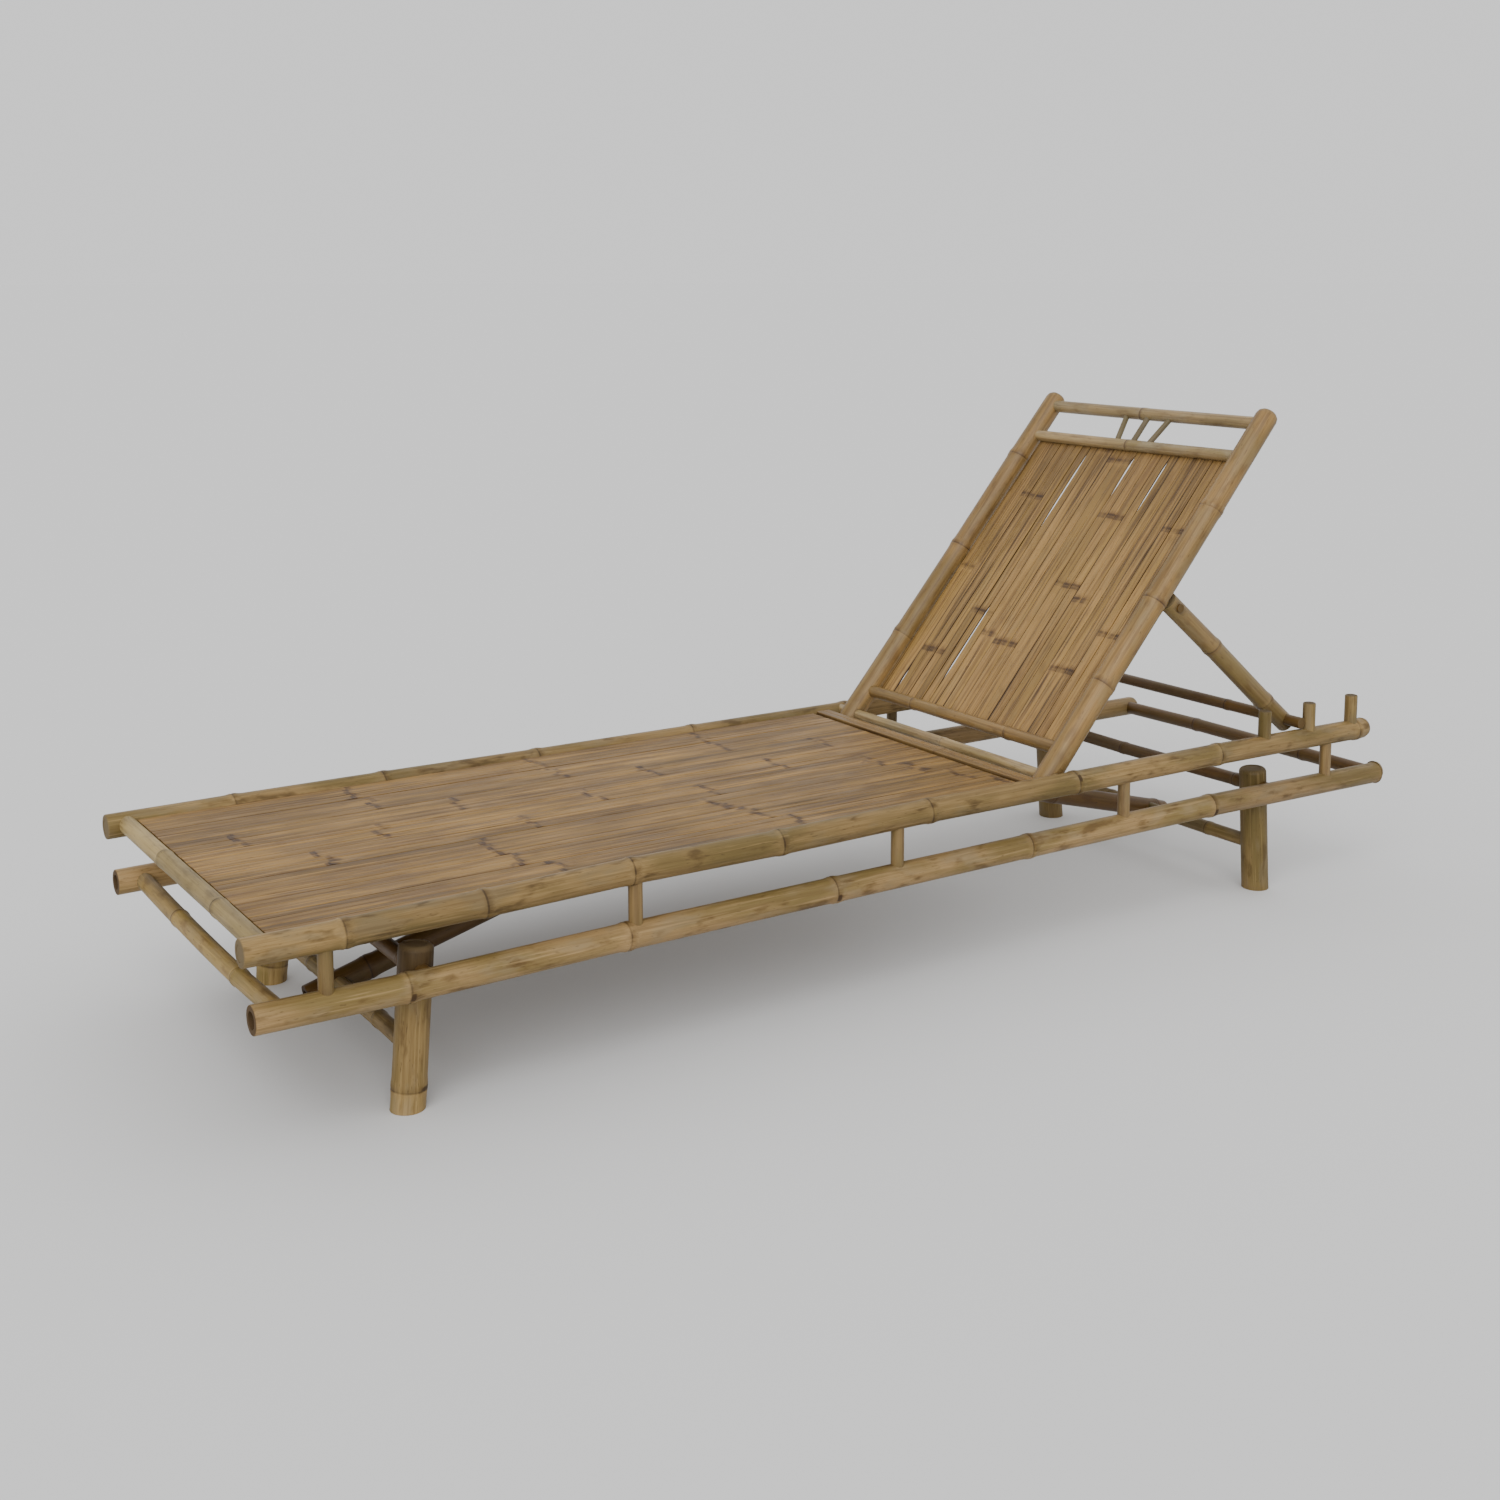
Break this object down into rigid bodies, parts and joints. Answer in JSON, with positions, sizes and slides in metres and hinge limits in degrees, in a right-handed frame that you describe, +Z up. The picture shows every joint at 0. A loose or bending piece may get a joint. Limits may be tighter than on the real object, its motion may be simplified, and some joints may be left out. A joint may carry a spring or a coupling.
{
  "type": "sun lounger",
  "caption": "Pole-framed bamboo sun lounger with a slatted deck and a backrest that tilts on a rod and is held up by a swinging prop against pegs.",
  "frame": {"origin": "centre of the footprint on the floor", "axes": "+Z up, +Y from the foot end to the head end, +X to the side nearest the camera in the picture"},
  "size_m": [0.639, 2.04, 0.832],
  "materials": {
    "pole_bamboo": "weathered satin culm skin",
    "deck_bamboo": "dry matt flattened culm",
    "slat_bamboo": "dry matt split culm",
    "split_bamboo": "satin split culm",
    "stick_bamboo": "weathered satin culm skin",
    "bamboo_pins": "matt cut bamboo"
  },
  "bodies": {
    "frame": {"backrest_pivot_rod": "pole_bamboo", "brace_dowels": "bamboo_pins", "deck_board_1": "deck_bamboo", "deck_board_2": "deck_bamboo", "deck_board_3": "deck_bamboo", "deck_board_4": "deck_bamboo", "deck_board_5": "deck_bamboo", "deck_board_6": "deck_bamboo", "deck_board_7": "deck_bamboo", "deck_board_8": "deck_bamboo", "deck_end_strip": "split_bamboo", "deck_nails": "bamboo_pins", "diagonal_brace_front": "pole_bamboo", "diagonal_brace_rear": "pole_bamboo", "end_batten": "split_bamboo", "foot_batten": "split_bamboo", "foot_lower_crossbar": "pole_bamboo", "foot_top_crossbar": "pole_bamboo", "front_leg_left": "pole_bamboo", "front_leg_right": "pole_bamboo", "head_lower_crossbar": "pole_bamboo", "leg_crossbar_front": "pole_bamboo", "leg_crossbar_rear": "pole_bamboo", "leg_stretcher_front": "pole_bamboo", "leg_stretcher_rear": "pole_bamboo", "lower_rail_left": "pole_bamboo", "lower_rail_right": "pole_bamboo", "middle_batten": "split_bamboo", "rear_leg_left": "pole_bamboo", "rear_leg_right": "pole_bamboo", "recline_pegs_left": "stick_bamboo", "recline_pegs_right": "stick_bamboo", "spacer_post_left_1": "stick_bamboo", "spacer_post_left_2": "stick_bamboo", "spacer_post_left_3": "stick_bamboo", "spacer_post_left_4": "stick_bamboo", "spacer_post_left_5": "stick_bamboo", "spacer_post_right_1": "stick_bamboo", "spacer_post_right_2": "stick_bamboo", "spacer_post_right_3": "stick_bamboo", "spacer_post_right_4": "stick_bamboo", "spacer_post_right_5": "stick_bamboo", "upper_rail_left": "pole_bamboo", "upper_rail_right": "pole_bamboo"},
    "backrest": {"back_crossbar": "pole_bamboo", "back_pins": "bamboo_pins", "back_pole_left": "pole_bamboo", "back_pole_right": "pole_bamboo", "back_slats_left": "slat_bamboo", "back_slats_middle": "slat_bamboo", "back_slats_right": "slat_bamboo", "backrest_top_crossbar": "pole_bamboo", "fan_sticks": "stick_bamboo", "lower_panel_crossbar": "pole_bamboo", "prop_pivot_rod": "pole_bamboo", "upper_panel_crossbar": "pole_bamboo"},
    "prop": {"prop_crossbar": "pole_bamboo", "prop_pole_left": "pole_bamboo", "prop_pole_right": "pole_bamboo"}
  },
  "joints": [
    {"name": "backrest_recline", "type": "hinge", "parent": "frame", "child": "backrest", "pos_m": [0, 0.276, 0.268], "axis": [1, 0, 0], "range_deg": [0, 80]},
    {"name": "prop_swing", "type": "hinge", "parent": "backrest", "child": "prop", "pos_m": [0, 0.54136, 0.51168], "axis": [-1, 0, 0], "range_deg": [0, 92]}
  ],
  "couplings": [
    {"joint": "prop_swing", "follows": "backrest_recline", "ratio": 1.14}
  ]
}
